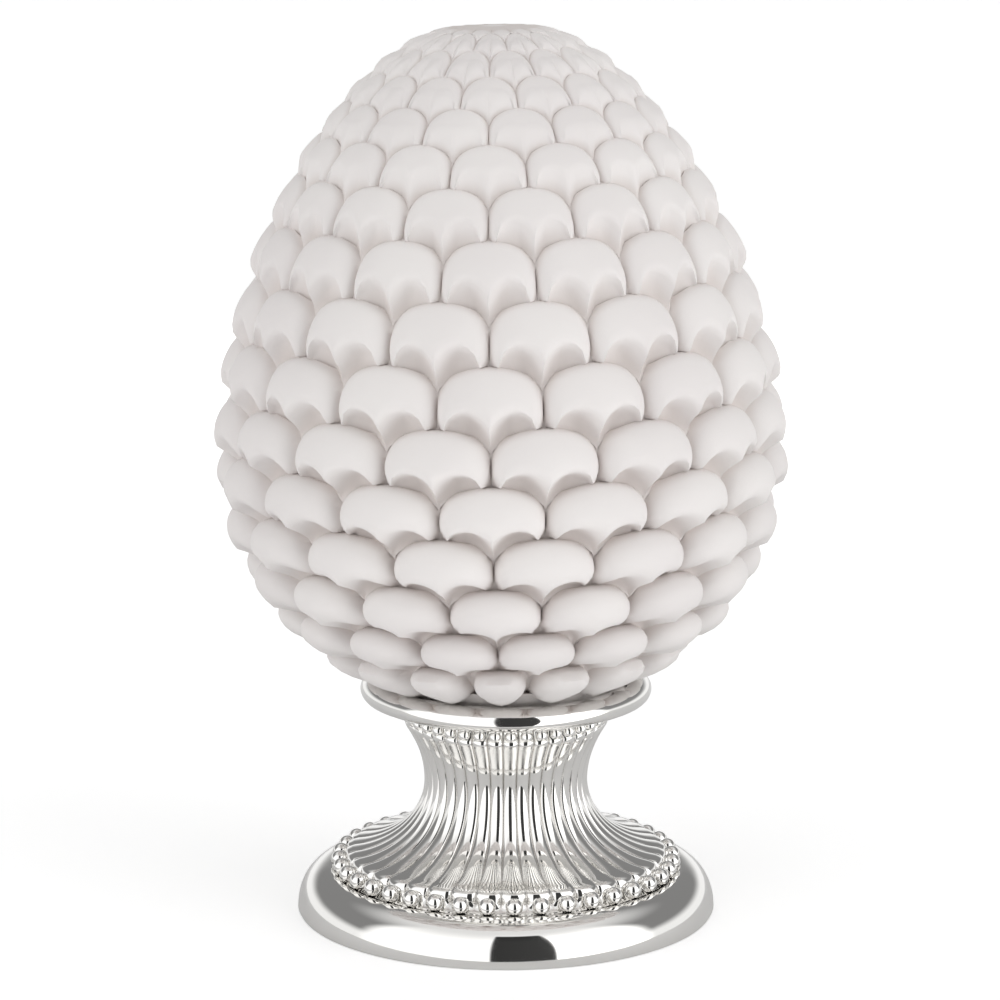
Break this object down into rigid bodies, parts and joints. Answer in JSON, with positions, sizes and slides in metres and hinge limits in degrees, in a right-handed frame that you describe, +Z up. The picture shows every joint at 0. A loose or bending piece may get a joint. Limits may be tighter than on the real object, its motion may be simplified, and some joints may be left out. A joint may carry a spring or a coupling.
{
  "type": "pinecone finial",
  "caption": "Matte white ceramic pinecone with rows of overlapping rounded scales, seated in the dish of a polished silver foot with a reeded stem and bead rings.",
  "frame": {"origin": "centre of the foot's flat underside, on the surface it stands on", "axes": "+Z up along the foot's axis, -Y toward the viewer of the picture, +X to the viewer's right"},
  "size_m": [0.1914, 0.1914, 0.3],
  "materials": {
    "ceramic": "unglazed matte warm-white ceramic",
    "silver": "mirror-polished silver plate"
  },
  "bodies": {
    "root": {"pinecone": "ceramic", "foot": "silver"}
  },
  "joints": []
}
